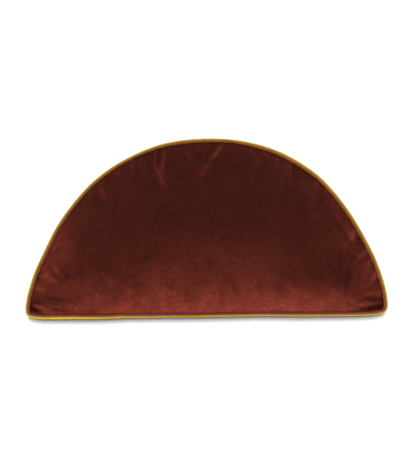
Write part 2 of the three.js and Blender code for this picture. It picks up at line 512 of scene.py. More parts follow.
FRONT_CREASES = (
    Ridge("upper left fold", (-0.0763, 0.1489), (-0.0811, 0.0796), (0.0035, 0.0038), 0.0013, 0.17),
    Ridge("upper left side fold", (-0.0909, 0.1489), (-0.096, 0.0924), (0.0027, 0.0033), 0.0007, 0.12),
    Ridge("upper left tail", (-0.0947, 0.1197), (-0.0656, 0.0559), (0.0029, 0.0029), 0.0011, 0.15),
    Trough("upper left shadow", (-0.0847, 0.1453), (-0.0865, 0.1106), (0.0029, 0.0027), 0.0006, 0.05),
    Ridge("top slanted fold", (0.0338, 0.1595), (-0.0032, 0.1079), (0.0027, 0.0035), 0.0018, 0.21),
    Trough("top slanted shadow", (0.0169, 0.1571), (-0.015, 0.1106), (0.0058, 0.0055), 0.0014, 0.14),
    Ridge("top slanted tail", (0.0032, 0.1188), (-0.015, 0.0869), (0.0049, 0.0057), 0.0008, 0.1),
    Ridge("top cross fold", (-0.0397, 0.1462), (-0.0123, 0.1124), (0.0035, 0.004), 0.0007, 0.07),
    Trough("top cross shadow", (-0.0342, 0.1489), (-0.0132, 0.1261), (0.0029, 0.0036), 0.0004, 0.05),
    Ridge("upper right fold",
          (0.1533, 0.1252), (0.148, 0.0687), (0.0036, 0.0035), 0.0013, 0.135, bow=0.0004),
    Trough("upper right shadow", (0.1593, 0.1252), (0.1573, 0.0887), (0.0033, 0.0036), 0.0009, 0.08),
    Ridge("upper right small fold", (0.1443, 0.1252), (0.1433, 0.0878), (0.0029, 0.0033), 0.0006, 0.085),
    Ridge("right shoulder nip", (0.1309, 0.1325), (0.1243, 0.1051), (0.0044, 0.0044), 0.0008, 0.12),
    Ridge("right shoulder third nip",
          (0.1775, 0.1079), (0.1728, 0.0769), (0.0031, 0.0035), 0.0008, 0.1, bow=0.0004),
    Ridge("right flank nip",
          (0.2034, 0.0878), (0.1958, 0.0614), (0.0033, 0.0036), 0.0008, 0.11, bow=0.0004),
    Ridge("right flank second nip",
          (0.2191, 0.075), (0.2104, 0.0486), (0.0031, 0.0036), 0.0009, 0.12, bow=0.0004),
    Ridge("right flank third nip", (0.2339, 0.0577), (0.2229, 0.0358), (0.0029, 0.0033), 0.0007, 0.08),
    Ridge("top right nip", (0.1026, 0.1462), (0.1135, 0.1215), (0.0047, 0.0046), 0.0006, 0.07),
    Ridge("top right second nip", (0.0771, 0.148), (0.1017, 0.1106), (0.0044, 0.0051), 0.0006, 0.07),
    Ridge("top right third nip", (0.0667, 0.1544), (0.0685, 0.1307), (0.0027, 0.0029), 0.0005, 0.05),
    Ridge("left shoulder nip", (-0.1345, 0.1298), (-0.1318, 0.0905), (0.0044, 0.0046), 0.0009, 0.12),
    Ridge("left shoulder second nip", (-0.1163, 0.1316), (-0.1153, 0.107), (0.0029, 0.0033), 0.0005, 0.045),
    Ridge("left shoulder third nip", (-0.1591, 0.1152), (-0.1555, 0.0878), (0.0027, 0.0031), 0.0007, 0.09),
    Ridge("left flank nip",
          (-0.1945, 0.0878), (-0.1817, 0.0468), (0.0031, 0.0038), 0.001, 0.13, bow=0.0007),
    Ridge("left flank second nip",
          (-0.2149, 0.0705), (-0.2065, 0.0377), (0.0027, 0.0033), 0.0007, 0.09, bow=0.0004),
    Ridge("left flank third nip", (-0.2375, 0.0468), (-0.2291, 0.0231), (0.0027, 0.0029), 0.0007, 0.1),
    Ridge("left flank fourth nip", (-0.222, 0.0541), (-0.212, 0.0212), (0.0026, 0.0031), 0.0006, 0.06),
    Ridge("left upper ridge",
          (-0.2813, -0.0626), (-0.2567, -0.0927), (0.0044, 0.0049), 0.0015, 0.25, bow=0.0005),
    Ridge("left long ridge", (-0.2999, -0.08), (-0.2612, -0.1037), (0.0044, 0.0042), 0.0018, 0.4),
    Ridge("left middle ridge", (-0.3178, -0.1064), (-0.2868, -0.1152), (0.0035, 0.0038), 0.0012, 0.27),
    Ridge("left soft ridge",
          (-0.2995, -0.1219), (-0.2302, -0.1064), (0.0066, 0.0084), 0.0004, 0.05, bow=0.0011),
    Ridge("left low ridge",
          (-0.3222, -0.1367), (-0.2795, -0.148), (0.0022, 0.0038), 0.0012, 0.52, bow=0.0004),
    Trough("left seam notch", (-0.3119, -0.0864), (-0.3014, -0.0984), (0.0029, 0.0027), 0.001, 0.55),
    Trough("left dark hollow",
           (-0.2959, -0.1219), (-0.2302, -0.1301), (0.0062, 0.0062), 0.0004, 0.11, bow=0.0009),
    Trough("left corner tuck", (-0.3269, -0.1396), (-0.2904, -0.1608), (0.0046, 0.0055), 0.0018, 0.85),
    Trough("left corner fold", (-0.3253, -0.129), (-0.2943, -0.1396), (0.0024, 0.0026), 0.0011, 0.55),
    Trough("left bottom tuck", (-0.2868, -0.1433), (-0.2412, -0.1516), (0.0033, 0.0042), 0.0009, 0.33),
    Ridge("right bright nip", (0.2673, -0.0021), (0.2596, -0.0289), (0.0053, 0.0038), 0.0015, 0.31),
    Trough("right nip shadow", (0.2804, -0.0134), (0.2698, -0.0335), (0.0033, 0.004), 0.0011, 0.34),
    Ridge("right upper ridge",
          (0.2977, -0.0353), (0.2658, -0.0608), (0.0038, 0.0058), 0.0014, 0.28, bow=0.0007),
    Ridge("right middle ridge",
          (0.305, -0.049), (0.2859, -0.08), (0.0038, 0.0042), 0.0012, 0.26, bow=0.0005),
    Ridge("right lower ridge",
          (0.3169, -0.0727), (0.2959, -0.1037), (0.0047, 0.0047), 0.0015, 0.42, bow=0.0004),
    Trough("right seam notch", (0.3187, -0.08), (0.3107, -0.0946), (0.0024, 0.0024), 0.001, 0.55),
    Trough("right diagonal",
           (0.2202, 0.0295), (0.264, -0.0335), (0.0033, 0.0044), 0.0012, 0.26, bow=-0.0007),
    Trough("right long hollow", (0.2552, -0.0626), (0.251, -0.1301), (0.0033, 0.0038), 0.0012, 0.28),
    Trough("right side hollow", (0.2408, -0.0371), (0.2414, -0.0864), (0.0026, 0.0027), 0.0007, 0.2),
    Ridge("right soft ridge", (0.3269, -0.1155), (0.2713, -0.1188), (0.0033, 0.0044), 0.001, 0.15),
    Trough("right corner fold", (0.3305, -0.1298), (0.2758, -0.1265), (0.0027, 0.0042), 0.001, 0.31),
    Ridge("right corner ridge", (0.3296, -0.1312), (0.2567, -0.1374), (0.0029, 0.0047), 0.0011, 0.22),
    Trough("right corner tuck", (0.3388, -0.1381), (0.2527, -0.1516), (0.0071, 0.0057), 0.002, 0.82),
    Trough("right bottom tuck", (0.2649, -0.1338), (0.2403, -0.152), (0.0026, 0.0027), 0.0005, 0.09),
)

# Broad glows and shades: painted sheen and painted shade where the pile is brushed one way or the other.
WIDE_MARKS = (
    PileMark("right bottom glow", (0.2257, -0.1219), (0.0474, 0.0182), 0.22),
    PileMark("left bottom shade", (-0.226, -0.1522), (0.0455, 0.0075), -0.31),
    PileMark("low bright band", (0.016, -0.1538), (0.2043, 0.0084), 0.3, turn=0.7),
    PileMark("right middle glow", (0.1017, -0.0608), (0.0547, 0.0219), 0.05),
    PileMark("middle glow", (0.0105, -0.0462), (0.1824, 0.0401), 0.085),
    PileMark("left rim glow", (-0.2758, -0.0207), (0.0292, 0.0492), 0.235, turn=22.0),
    PileMark("left low rim glow", (-0.3014, -0.0809), (0.0237, 0.0365), 0.21, turn=14.0),
    PileMark("right rim glow", (0.2603, 0.0012), (0.0109, 0.0292), 0.07, turn=-28.0),
    PileMark("right low rim glow", (0.2913, -0.09), (0.0219, 0.0347), 0.16, turn=-16.0),
    PileMark("left inner glow", (-0.2631, -0.1082), (0.0438, 0.0219), 0.12, turn=8.0),
    PileMark("left low shade", (-0.1609, -0.1374), (0.0474, 0.0128), -0.16),
    PileMark("right flank glow", (0.2512, -0.0207), (0.0255, 0.0365), 0.05, turn=-25.0),
    PileMark("upper left shade", (-0.0989, 0.1252), (0.0219, 0.0182), -0.07),
    PileMark("lower middle glow", (-0.0296, -0.0754), (0.2006, 0.0219), 0.045),
    PileMark("left upper glow", (-0.2667, -0.0061), (0.0109, 0.0182), 0.06, turn=-30.0),
    PileMark("low rim glow", (0.0105, -0.157), (0.1933, 0.0047), 0.32, turn=0.68),
    PileMark("upper right shade", (0.1892, 0.0595), (0.0219, 0.0164), -0.05),
    PileMark("right shoulder glow", (0.2384, 0.0249), (0.0109, 0.0182), 0.06, turn=-35.0),
    PileMark("right bottom shade", (0.2913, -0.1529), (0.0219, 0.0064), -0.2),
    PileMark("low row patch", (-0.0023, -0.1529), (0.0438, 0.0047), -0.06),
    PileMark("top rim glow", (0.0014, 0.1453), (0.1204, 0.0109), 0.05),
    PileMark("left low bright patch", (-0.2229, -0.1046), (0.0274, 0.0146), 0.065),
    PileMark("low mid patch", (-0.0023, -0.1119), (0.0292, 0.0109), -0.07),
    PileMark("low second patch", (-0.1318, -0.1228), (0.0219, 0.0091), -0.09),
    PileMark("low ninth patch", (-0.1026, -0.1465), (0.0255, 0.0091), 0.08),
    PileMark("low tenth patch", (0.1509, -0.1301), (0.0219, 0.0128), 0.1),
    PileMark("middle right patch", (0.0615, -0.0827), (0.0438, 0.0255), 0.04),
    PileMark("low right corner glow", (0.253, -0.1329), (0.031, 0.0091), 0.14),
    PileMark("low left corner glow", (-0.254, -0.1246), (0.0182, 0.01), 0.1),
    PileMark("low left corner shade", (-0.2521, -0.1456), (0.0201, 0.0058), -0.09),
)
# Blots, smears and small shades of crushed pile in the bright stretch above the straight edge, painted sheen
# and shade.
LOW_MARKS = (
    PileMark("low blot", (-0.1254, -0.1037), (0.0077, 0.0066), -0.34),
    PileMark("low blot tail", (-0.1254, -0.1192), (0.0109, 0.0033), -0.22),
    PileMark("right mark", (0.098, -0.1028), (0.0062, 0.0055), -0.16),
    PileMark("right fourth mark", (0.1728, -0.1101), (0.004, 0.0073), -0.15),
    PileMark("low left pale spot", (-0.2634, -0.1414), (0.0064, 0.0029), 0.1),
    PileMark("right seam glow", (0.3178, -0.1119), (0.0073, 0.0146), 0.22, turn=-15.0),
    PileMark("left corner shade", (-0.2941, -0.1557), (0.0164, 0.0055), -0.15),
    PileMark("low second blot", (-0.0643, -0.1019), (0.0109, 0.0064), -0.15, turn=15.0),
    PileMark("low third blot", (-0.0333, -0.1137), (0.0109, 0.0146), -0.3),
    PileMark("low fifth blot", (0.0615, -0.1458), (0.0082, 0.0033), -0.16, turn=-40.0),
    PileMark("low bright smear", (-0.0552, -0.1338), (0.0146, 0.0073), 0.1),
    PileMark("low second smear", (0.0123, -0.1101), (0.0109, 0.0073), 0.08),
    PileMark("left end blot", (-0.1427, -0.1228), (0.0146, 0.0091), -0.14),
    PileMark("low sixth blot", (-0.0661, -0.1374), (0.0128, 0.0082), -0.15),
    PileMark("low seventh blot", (-0.0132, -0.1246), (0.0091, 0.0109), -0.12),
    PileMark("low third smear", (0.0871, -0.1374), (0.0146, 0.0091), 0.1),
    PileMark("low fourth smear", (-0.1682, -0.0955), (0.0164, 0.0109), 0.07),
    PileMark("left bright spot", (-0.2941, -0.1383), (0.0146, 0.0073), 0.14, turn=20.0),
    PileMark("right row patch", (0.2968, -0.1502), (0.0146, 0.0033), -0.2, turn=5.0),
    PileMark("right corner shade", (0.2622, -0.1447), (0.0146, 0.0073), -0.13),
    PileMark("low third patch", (0.1892, -0.1228), (0.0109, 0.0091), -0.12),
    PileMark("low fifth patch", (0.0378, -0.1256), (0.0164, 0.0109), 0.13),
    PileMark("left tuck shade", (-0.2667, -0.148), (0.0164, 0.0029), -0.14, turn=-7.0),
    PileMark("low eighth patch", (-0.1172, -0.0936), (0.0128, 0.0091), 0.08),
    PileMark("low right patch", (0.1892, -0.1082), (0.0128, 0.0091), 0.07),
    PileMark("low right second patch", (0.2147, -0.1502), (0.0146, 0.0073), 0.07),
    PileMark("low left patch", (-0.2193, -0.1228), (0.0146, 0.0091), 0.08),
    PileMark("low left second patch", (-0.0916, -0.1228), (0.0128, 0.0073), -0.07),
    PileMark("low centre patch", (0.0634, -0.1374), (0.0146, 0.0091), 0.07),
)
# Small marks and faint lines higher up of painted sheen and shade, most of them near the curved edge.
HIGH_MARKS = (
    PileMark("thin line", (0.0269, -0.0225), (0.0237, 0.002), -0.07, turn=43.0),
    PileMark("left faint line", (-0.2065, -0.0398), (0.0246, 0.0024), 0.05, turn=38.0),
    PileMark("middle blot", (-0.1026, -0.0526), (0.0095, 0.0058), -0.12, turn=10.0),
    PileMark("left mark", (-0.227, -0.0772), (0.0027, 0.0119), -0.18),
    PileMark("left fourth mark", (-0.2516, -0.0864), (0.004, 0.004), -0.24),
    PileMark("left fifth mark", (-0.2649, -0.0362), (0.0047, 0.0091), -0.16, turn=-15.0),
    PileMark("right pale line", (0.2534, -0.0681), (0.0026, 0.0146), 0.07),
    PileMark("right pale spot", (0.2494, -0.0326), (0.0029, 0.0062), 0.06),
    PileMark("left pale spot", (-0.2974, -0.0699), (0.0026, 0.0044), 0.12),
    PileMark("left second pale spot", (-0.2777, -0.0378), (0.0029, 0.0055), 0.1, turn=-20.0),
    PileMark("right shoulder shade", (0.2111, 0.0304), (0.0146, 0.0164), -0.1),
    PileMark("right dark side", (0.2804, -0.0316), (0.0091, 0.0146), -0.15, turn=30.0),
    PileMark("middle third blot", (0.0014, -0.0617), (0.0091, 0.0091), -0.07),
    PileMark("left inner shade", (-0.2704, -0.0845), (0.0155, 0.0155), -0.12),
    PileMark("right nip glow", (0.2622, -0.0145), (0.0091, 0.0044), 0.19, turn=-50.0),
    PileMark("upper left rim shade", (-0.1099, 0.1334), (0.0146, 0.0047), -0.07, turn=27.0),
    PileMark("left blob shade", (-0.2972, -0.0842), (0.0055, 0.0047), -0.1),
)
PILE_MARKS = WIDE_MARKS + LOW_MARKS + HIGH_MARKS


def grid_faces(rows: int, columns: int, wrap: bool) -> np.ndarray:
    """Four-sided faces of a grid of points numbered row by row.

    Args:
        rows: Number of rows of points.
        columns: Number of points in a row.
        wrap: Whether the last row and column join the first ones.

    Returns:
        One row of four point numbers for each face.
    """
    row = np.arange(rows if wrap else rows - 1)
    column = np.arange(columns if wrap else columns - 1)
    r, c = np.meshgrid(row, column, indexing="ij")
    r2, c2 = (r + 1) % rows, (c + 1) % columns
    faces = [r * columns + c, r2 * columns + c, r2 * columns + c2, r * columns + c2]
    return np.stack(faces, axis=-1).reshape(-1, 4)


def mesh_object(name: str, points: np.ndarray, faces: np.ndarray) -> bpy.types.Object:
    """Makes an object from point and face arrays, with smooth faces.

    Args:
        name: The object's name.
        points: Points, one to a row.
        faces: Point numbers, one face to a row.

    Returns:
        The object, linked to the scene.
    """
    mesh = bpy.data.meshes.new(name)
    mesh.from_pydata(points.tolist(), [], faces.tolist())
    mesh.update()
    mesh.polygons.foreach_set("use_smooth", np.ones(len(faces), dtype=bool))
    made = bpy.data.objects.new(name, mesh)
    bpy.context.scene.collection.objects.link(made)
    return made


def read_rows(items: bpy.types.bpy_prop_collection, name: str) -> np.ndarray:
    """Three numbers of each item of a mesh, as an array.

    Args:
        items: The mesh's points or their normals.
        name: What is read of each.

    Returns:
        The numbers, one item to a row.
    """
    flat = np.empty(len(items) * 3, dtype=np.float32)
    items.foreach_get(name, flat)
    return flat.reshape(-1, 3).astype(float)


def read_points(mesh: bpy.types.Mesh) -> np.ndarray:
    """The mesh's points as an array with one to a row."""
    return read_rows(mesh.vertices, "co")


def write_points(mesh: bpy.types.Mesh, points: np.ndarray) -> None:
    """Puts an array with one point to a row into the mesh."""
    mesh.vertices.foreach_set("co", points.astype(np.float32).ravel())
    mesh.update()


def write_values(mesh: bpy.types.Mesh, name: str, values: np.ndarray) -> None:
    """Stores one number for each point of the mesh."""
    stored = mesh.attributes.new(name, "FLOAT", "POINT")
    stored.data.foreach_set("value", values.astype(np.float32))


def write_uv(mesh: bpy.types.Mesh, name: str, corners: np.ndarray) -> None:
    """Adds a UV map in metres of cloth, from one pair of numbers for each face corner."""
    layer = mesh.uv_layers.new(name=name)
    layer.data.foreach_set("uv", corners.astype(np.float32).ravel())


@dataclass
class Inflation:
    """How the cover is blown up: a cloth simulation under inner pressure, its rim held in the seam.

    The panels are cut larger than the seam draws them, by cut_stretch along X and Y, so the cloth gathers
    where the seam is shorter than the cut. The flat cut panels lie cut_apart above and below the seam.
    """

    frames: int = 24
    quality: int = 6
    pressure: float = 4.0
    cut_stretch: tuple[float, float] = (1.02, 1.10)
    cut_apart: float = 0.02
    tension: float = 15.0
    bending: float = 0.6
    most_moved: float = 0.014

    def run(self, cover: bpy.types.Object, cut: np.ndarray, held: np.ndarray) -> np.ndarray:
        """Simulates the cover and takes the simulation off again.

        Args:
            cover: The cover's object.
            cut: The points' places in the flat cut panels.
            held: Numbers of the points that the seam holds.

        Returns:
            The settled points, none moved further than most_moved.
        """
        start = read_points(cover.data)
        cover.shape_key_add(name="sewn")
        cut_key = cover.shape_key_add(name="cut")
        cut_key.data.foreach_set("co", cut.astype(np.float32).ravel())
        seam_group = cover.vertex_groups.new(name="seam")
        seam_group.add(held.tolist(), 1.0, "REPLACE")
        cloth = cover.modifiers.new("inflate", "CLOTH")
        settings = cloth.settings
        settings.quality = self.quality
        settings.tension_stiffness = self.tension
        settings.compression_stiffness = self.tension
        settings.bending_stiffness = self.bending
        settings.vertex_group_mass = seam_group.name
        settings.rest_shape_key = cut_key
        settings.use_pressure = True
        settings.uniform_pressure_force = self.pressure
        settings.effector_weights.gravity = 0.0
        cloth.collision_settings.use_collision = False
        scene = bpy.context.scene
        cloth.point_cache.frame_start = 1
        cloth.point_cache.frame_end = self.frames
        for number in range(1, self.frames + 1):
            scene.frame_set(number)
        settled = read_points(cover.evaluated_get(bpy.context.evaluated_depsgraph_get()).data)
        scene.frame_set(1)
        cover.modifiers.remove(cloth)
        cover.vertex_groups.remove(seam_group)
        cover.shape_key_clear()
        moved = settled - start
        far = np.linalg.norm(moved, axis=1, keepdims=True)
        LOG.info("inflation moved the cloth by %.1f mm at most", far.max() / MILLIMETRE)
        return start + moved * np.minimum(1.0, self.most_moved / np.maximum(far, TINY))


@dataclass
class VelvetCover:
    """The front and back panels, sewn together at the rim and filled.

    Each panel is a grid between the straight edge and three stretches of the arc. The seam's painted shade
    is a dark line where the velvet dips to the piping, and the rim highlight is a painted highlight, paler
    pile just inside it.
    """

    form: PillowForm
    inflation: Inflation
    cells_along: int = 124
    cells_across: int = 56
    corner_bearings: tuple[float, float] = (203.9, 336.8)
    shoulder_bearings: tuple[float, float] = (142.0, 38.0)
    smoothing_rounds: int = 60
    start_share: float = 0.94
    lump_height: float = 0.0016
    lump_edge: float = 0.5
    lumps: Waves = Waves(seed=11, longest=0.22, shortest=0.07)
    pucker_height: float = 0.0007
    back_pucker_height: float = 0.0014
    pucker_reach: float = 0.016
    pucker_edge: float = 0.003
    puckers: Waves = Waves(seed=29, longest=0.034, shortest=0.012)
    front_edge: float = 0.004
    sway_reach: float = 0.05
    # Painted shade along the seam, where the velvet dips to the piping.
    groove_shade_reach: float = 0.0026
    groove_shade_depth: float = 0.40
    groove_shade_swells: tuple[Swell, ...] = (
        Swell(bearing=6.3, spread=2.0, height=1.0),
        Swell(bearing=2.0, spread=2.0, height=0.4),
        Swell(bearing=359.5, spread=3.2, height=0.7),
        Swell(bearing=348.0, spread=1.8, height=0.8),
        Swell(bearing=341.5, spread=2.6, height=0.8),
        Swell(bearing=197.0, spread=5.0, height=0.45),
        Swell(bearing=192.0, spread=2.0, height=0.4),
        Swell(bearing=270.0, spread=62.0, height=-0.46),
    )
    # Painted highlight of the pile just inside the rim.
    rim_highlight_reach: float = 0.004
    rim_highlight_swells: tuple[Swell, ...] = (
        Swell(bearing=18.0, spread=26.0, height=0.045),
        Swell(bearing=84.0, spread=26.0, height=0.045),
        Swell(bearing=152.0, spread=22.0, height=0.05),
    )
    mark_raggedness: float = 0.3
    mark_edges: Waves = Waves(seed=47, longest=0.02, shortest=0.007)
    fill: float = 0.8

    def flat_grid(self) -> np.ndarray:
        """Places the grid in the plane, between its four sides.

        It is the blend of the two long sides plus the blend of the two short ones, less the blend of the
        four corners. Rounds that bring each inner point half way to its neighbours' mean then even it out.

        Returns:
            Points, by step along X and step along Y, with x and y last.
        """
        path = self.form.path
        left, right = (path.run_of(b) for b in self.corner_bearings)
        top_left, top_right = (path.run_of(b) for b in self.shoulder_bearings)
        cord = self.form.cord
        u = np.linspace(0.0, 1.0, self.cells_along + 1)
        v = np.linspace(0.0, 1.0, self.cells_across + 1)
        bottom = path.rim(left + (right - left) * u, cord)
        top = path.rim(top_left + (top_right - top_left) * u, cord)
        left_side = path.rim(left + (top_left - left) * v, cord)
        right_side = path.rim(right + (top_right + path.length - right) * v, cord)
        uu, vv = u[:, None, None], v[None, :, None]
        grid = (1.0 - vv) * bottom[:, None] + vv * top[:, None]
        grid = grid + (1.0 - uu) * left_side[None] + uu * right_side[None]
        low = (1.0 - uu) * bottom[0] + uu * bottom[-1]
        high = (1.0 - uu) * top[0] + uu * top[-1]
        grid = grid - (1.0 - vv) * low - vv * high
        for _ in range(self.smoothing_rounds):
            mean = (grid[:-2, 1:-1] + grid[2:, 1:-1] + grid[1:-1, :-2] + grid[1:-1, 2:]) / 4.0
            grid[1:-1, 1:-1] = (grid[1:-1, 1:-1] + mean) / 2.0
        return grid

    def panel_numbers(self) -> dict[Panel, np.ndarray]:
        """Numbers of the points of each panel's grid.

        Returns:
            The numbers for each panel. The panels share those of the rim.
        """
        rows, columns = self.cells_along + 1, self.cells_across + 1
        front = np.arange(rows * columns).reshape(rows, columns)
        back = front.copy()
        inner = (rows - 2) * (columns - 2)
        back[1:-1, 1:-1] = rows * columns + np.arange(inner).reshape(rows - 2, columns - 2)
        return {Panel.FRONT: front, Panel.BACK: back}

    def build(self) -> bpy.types.Object:
        """Makes the cover: sewn, blown up, settled on its back and creased.

        Returns:
            The finished object.
        """
        grid = self.flat_grid()
        numbers = self.panel_numbers()
        front_faces = grid_faces(self.cells_along + 1, self.cells_across + 1, wrap=False)
        back_faces = numbers[Panel.BACK].ravel()[front_faces][:, ::-1]
        flat = np.concatenate([grid.reshape(-1, 2), grid[1:-1, 1:-1].reshape(-1, 2)])
        crown = self.form.crown(flat) * self.start_share
        is_back = np.arange(len(flat)) >= grid.shape[0] * grid.shape[1]
        height = np.where(is_back, -self.form.back_crown, self.form.front_crown) * crown
        seam = self.form.seam(flat[:, 0])
        points = np.column_stack([flat, seam + height])
        cover = mesh_object("velvet_cover", points, np.concatenate([front_faces, back_faces]))
        front = numbers[Panel.FRONT]
        rim = np.unique(np.concatenate([front[0], front[-1], front[:, 0], front[:, -1]]))
        stretch = np.array(self.inflation.cut_stretch)
        cut = np.column_stack([flat * stretch, seam + self.inflation.cut_apart * np.sign(height)])
        write_points(cover.data, self.inflation.run(cover, cut, rim))
        self.refine(cover, rim)
        self.shape(cover)
        corners = np.empty(len(cover.data.loops), dtype=np.int32)
        cover.data.loops.foreach_get("vertex_index", corners)
        write_uv(cover.data, "cloth", read_points(cover.data)[corners][:, :2])
        return cover

    def refine(self, cover: bpy.types.Object, rim: np.ndarray) -> None:
        """Subdivides the cover once, smoothly but with a sharp rim, and keeps the finer mesh.

        Args:
            cover: The cover's object.
            rim: Numbers of the rim's points.
        """
        mesh = cover.data
        ends = np.empty(len(mesh.edges) * 2, dtype=np.int32)
        mesh.edges.foreach_get("vertices", ends)
        sharp = np.isin(ends.reshape(-1, 2), rim).all(axis=1)
        crease = mesh.attributes.new("crease_edge", "FLOAT", "EDGE")
        crease.data.foreach_set("value", sharp.astype(np.float32))
        divide = cover.modifiers.new("refine", "SUBSURF")
        divide.levels = 1
        divide.render_levels = 1
        divided = cover.evaluated_get(bpy.context.evaluated_depsgraph_get())
        finer = bpy.data.meshes.new_from_object(divided)
        cover.modifiers.remove(divide)
        rough = cover.data
        cover.data = finer
        bpy.data.meshes.remove(rough)
        finer.name = cover.name

    def shape(self, cover: bpy.types.Object) -> None:
        """Gives the blown-up cover its crown, lumps, puckers and creases, and lays it on its back.

        The front is scaled in height so that its top is the solid's. Lumps, puckers along the seam and the
        creases then move each point along its normal. The seam's sway lifts or lowers what lies near it, and
        the back settles onto the surface.

        Args:
            cover: The cover's object.
        """
        points = read_points(cover.data)
        normals = read_rows(cover.data.vertex_normals, "vector")
        place = points[:, :2].copy()
        seam = self.form.seam(place[:, 0])
        rise = points[:, 2] - seam
        top = SOLID_BOX[1].z - self.form.seam_height
        rise = np.where(rise > 0.0, rise * top / rise.max(), rise)
        points[:, 2] = seam + rise
        inside = smooth_step(0.0, self.lump_edge, self.form.crown(place))
        lumps = self.lump_height * inside * self.lumps.over(points)
        near = self.rim_distance(place)
        ripple = self.puckers.over(self.along_seam(place)[:, None])
        fade = bell(near / self.pucker_reach) * smooth_step(0.0, self.pucker_edge, near)
        gather = np.where(rise > 0.0, self.pucker_height, self.back_pucker_height) * fade * ripple
        front = smooth_step(0.0, self.front_edge, rise)
        creases = sum(crease.rise(place) for crease in FRONT_CREASES) * front
        points += normals * (lumps + gather + creases)[:, None]
        sway = self.form.seam_sway(self.form.path.outline.bearing_of(points[:, :2]))
        points[:, 2] += sway * bell(near / self.sway_reach)
        points[:, 2] = self.form.settle(points[:, 2])
        write_points(cover.data, points)
        self.paint_sheen_and_shade(cover, points, near, front)

    def paint_sheen_and_shade(
        self, cover: bpy.types.Object, points: np.ndarray, near: np.ndarray, front: np.ndarray
    ) -> None:
        """Stores the painted sheen and shade at each point, and how dark the painted shade along the seam
        is.

        The painted sheen and shade come from the rim highlight, the creases and the marks, with ragged
        edges, on the front alone. The rim highlight is a bell over the distance from the rim whose peak lies
        rim_highlight_reach inside it.

        Args:
            cover: The cover's object.
            points: The cover's points.
            near: Distance of each point from the rim.
            front: Share of each point that belongs to the front.
        """
        place = points[:, :2]
        bearing = self.form.path.outline.bearing_of(place)
        # Painted highlight just inside the rim, and the creases' and marks' painted sheen and shade.
        rim_highlight = swelling(self.rim_highlight_swells, bearing) * bell(near / self.rim_highlight_reach - 1.0)
        opening = (rim_highlight + sum(part.opening(place) for part in FRONT_CREASES + PILE_MARKS)) * front
        ragged = 1.0 + self.mark_raggedness * self.mark_edges.over(points)
        write_values(cover.data, PAINTED_SHEEN_AND_SHADE, opening * ragged)
        # Painted shade along the seam, where the velvet dips to the piping.
        groove_shade = np.maximum(self.groove_shade_depth + swelling(self.groove_shade_swells, bearing), 0.0)
        write_values(cover.data, SEAM_SHADE, groove_shade * bell(near / self.groove_shade_reach))

    def rim_distance(self, place: np.ndarray) -> np.ndarray:
        """Distance of each point from the rim, about: the shorter of those to the arc and the straight edge.

        Args:
            place: Points, with x and y last.

        Returns:
            The distance, along the bearing for the arc and along Y for the edge, and 0 past the rim.
        """
        outline = self.form.path.outline
        offset = np.linalg.norm(place - np.array(outline.arc_centre), axis=-1)
        to_arc = outline.arc_reach(outline.bearing_of(place)) - offset
        to_edge = place[:, 1] - outline.edge_height(place[:, 0])
        inset = self.form.cord.rim_inset(outline.bearing_of(place))
        return np.maximum(np.minimum(to_arc, to_edge) - inset, 0.0)

    def along_seam(self, place: np.ndarray) -> np.ndarray:
        """Length along the seam on each point's bearing."""
        path = self.form.path
        return np.interp(path.outline.bearing_of(place), path.bearings, path.reach)


